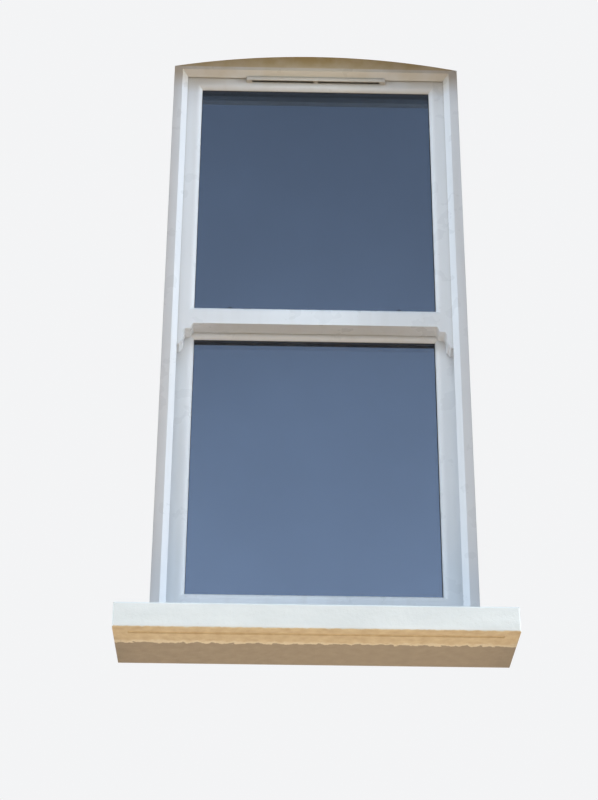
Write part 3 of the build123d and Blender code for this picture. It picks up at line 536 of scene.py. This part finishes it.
def add_cam_base_screws():
    """Two screws down through each cam fastener's base."""
    low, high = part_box("cam_bases")
    across = both_sides(high.x - CAM_BASE_LENGTH / 2, CAM_SCREWS_APART)
    places = [(x, (low.y + high.y) / 2, low.z + CAM_BASE_THICKNESS) for x in across]
    add_screws("cam_base_screws", "lower_sash", places, upright=True)


def add_keeper_screws():
    """Two screws in the leg of each cam fastener's keeper."""
    low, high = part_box("cam_keepers")
    across = both_sides(high.x - KEEPER_LENGTH / 2, KEEPER_SCREWS_APART)
    places = [(x, high.y, low.z + KEEPER_SCREW_RISE) for x in across]
    add_screws("keeper_screws", "upper_sash", places, upright=False)


def add_lift_screws():
    """Two screws in the plate of each sash lift."""
    low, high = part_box("sash_lifts")
    across = both_sides(high.x - LIFT_WIDTH / 2, LIFT_SCREWS_APART)
    places = [(x, low.y + LIFT_THICKNESS, high.z - LIFT_SCREW_DROP) for x in across]
    add_screws("lift_screws", "lower_sash", places, upright=False)


def add_floor():
    """A pale floor at the photographer's feet, which throws warm light up."""
    bpy.ops.mesh.primitive_plane_add(size=FLOOR_SIZE, location=(0, 0, CAMERA_AT.z - EYE_HEIGHT))
    floor = bpy.context.object
    floor.name = "floor"
    look = Look("floor", Roughness=0.8)
    rays = look.node("ShaderNodeLightPath").outputs
    mirrored = look.math("MAXIMUM", rays["Is Glossy Ray"], rays["Is Transmission Ray"])
    seen = look.math("MAXIMUM", rays["Is Camera Ray"], mirrored)
    mottled = look.mix(look.noise(0.6, 4.0), FLOOR_COLOR, shaded(FLOOR_COLOR, 0.96))
    look.set("Base Color", look.mix(seen, FLOOR_BOUNCE, mottled))
    look.set("Emission Color", mottled)
    look.set("Emission Strength", look.math("MULTIPLY", seen, FLOOR_GLOW))
    floor.data.materials.append(look.material)


def add_sky():
    """Even light, and a plain pale backdrop for what the camera and the glass see."""
    world = bpy.data.worlds.new("studio")
    bpy.context.scene.world = world
    world.use_nodes = True
    sky = Nodes(world.node_tree)
    sky.tree.nodes.clear()
    direction = sky.node("ShaderNodeTexCoord").outputs["Generated"]
    climb = sky.node("ShaderNodeSeparateXYZ", {"Vector": direction}).outputs["Z"]

    def backdrop(color, strength):
        """Light of one colour."""
        light = {"Color": (*color, 1), "Strength": strength}
        return sky.node("ShaderNodeBackground", light).outputs[0]

    def graded(color, strengths):
        """Light of one colour that fades from low in the sky to high in it."""
        fade = sky.spread(climb, FADE_FROM, FADE_TO, *strengths)
        fade.interpolation_type = "SMOOTHSTEP"
        return backdrop(color, fade.outputs[0])

    rays = sky.node("ShaderNodeLightPath").outputs
    shown = backdrop(SKY_COLOR, SKY_LIGHT)
    for ray, seen in (
        ("Is Camera Ray", backdrop(BACKDROP, 1.0)),
        ("Is Transmission Ray", graded(BACKDROP, BEHIND_FADE)),
        ("Is Glossy Ray", graded(MIRRORED, MIRRORED_FADE)),
    ):
        shown = sky.node("ShaderNodeMixShader", {0: rays[ray], 1: shown, 2: seen}).outputs[0]
    sky.node("ShaderNodeOutputWorld", {"Surface": shown})


def hide(thing):
    """Keep a lamp or a card out of the picture and out of the glass."""
    thing.visible_camera = False
    thing.visible_glossy = False
    thing.visible_transmission = False


def opening_outline():
    """The brick opening's sides and arch, from its left foot to its right."""
    rise = OPENING_CROWN - OPENING_SPRING
    radius = (OPENING_HALF_WIDTH**2 + rise**2) / (2 * rise)
    sweep = asin(OPENING_HALF_WIDTH / radius)
    outline = [(-OPENING_HALF_WIDTH, OPENING_FOOT)]
    for step in range(ARCH_STEPS + 1):
        angle = sweep * (2 * step / ARCH_STEPS - 1)
        outline.append((radius * sin(angle), OPENING_CROWN - radius * (1 - cos(angle))))
    outline.append((OPENING_HALF_WIDTH, OPENING_FOOT))
    return outline


def add_brick_card():
    """A card where the wall stood, bent into its opening, which shades the frame as that did."""
    corners = [(x, y, z) for x, z in opening_outline() for y in (0, WALL_FACE)]
    quads = [(n, n + 1, n + 3, n + 2) for n in range(0, len(corners) - 2, 2)]
    beside_window = (OPENING_HALF_WIDTH, OPENING_FOOT, OPENING_CROWN)
    beside_sill = (SILL_HIGH.x, WALL_FOOT, OPENING_FOOT)
    for inner, low, high in (beside_window, beside_sill):
        for side in (-1, 1):
            quads.append([len(corners) + n for n in (0, 1, 3, 2)])
            corners += [(side * x, WALL_FACE, z) for x in (inner, WALL_REACH) for z in (low, high)]
    mesh = bpy.data.meshes.new("brick_card")
    mesh.from_pydata(corners, [], quads)
    look = Look("brick_card", Roughness=0.9)
    look.set("Base Color", look.mix(look.noise(9.0), BRICK, shaded(BRICK, 0.7)))
    mesh.materials.append(look.material)
    card = add_object("brick_card", mesh)
    hide(card)


def add_lamp(name, at, size, watts, color):
    """A square softbox that faces the window's middle."""
    lamp = add_object(name, bpy.data.lights.new(name, "AREA"))
    lamp.data.size = size
    lamp.data.energy = watts
    lamp.data.color = color
    lamp.location = at
    lamp.rotation_euler = (WINDOW_MIDDLE - Vector(at)).to_track_quat("-Z", "Y").to_euler()
    hide(lamp)


def add_camera():
    """The photograph's camera, placed from the window's known sizes."""
    flat = Vector((sin(CAMERA_YAW), cos(CAMERA_YAW), 0))
    forward = cos(CAMERA_PITCH) * flat + Vector((0, 0, sin(CAMERA_PITCH)))
    level = Vector((cos(CAMERA_YAW), -sin(CAMERA_YAW), 0))
    upward = level.cross(forward)
    right = cos(CAMERA_ROLL) * level + sin(CAMERA_ROLL) * upward
    up = cos(CAMERA_ROLL) * upward - sin(CAMERA_ROLL) * level
    turned = Matrix((right, up, -forward)).transposed()

    camera = add_object("camera", bpy.data.cameras.new("camera"))
    camera.data.sensor_width = SENSOR
    camera.data.sensor_fit = "AUTO"
    camera.data.lens = FOCAL_PIXELS * SENSOR / PHOTO_LONG_SIDE
    camera.matrix_world = Matrix.Translation(CAMERA_AT) @ turned.to_4x4()
    bpy.context.scene.camera = camera


dress_nodes()
add_cam_base_screws()
add_keeper_screws()
add_lift_screws()
add_floor()
add_sky()
add_brick_card()
for lamp in LAMPS:
    add_lamp(*lamp)
add_camera()

bpy.context.scene.view_settings.view_transform = "Standard"
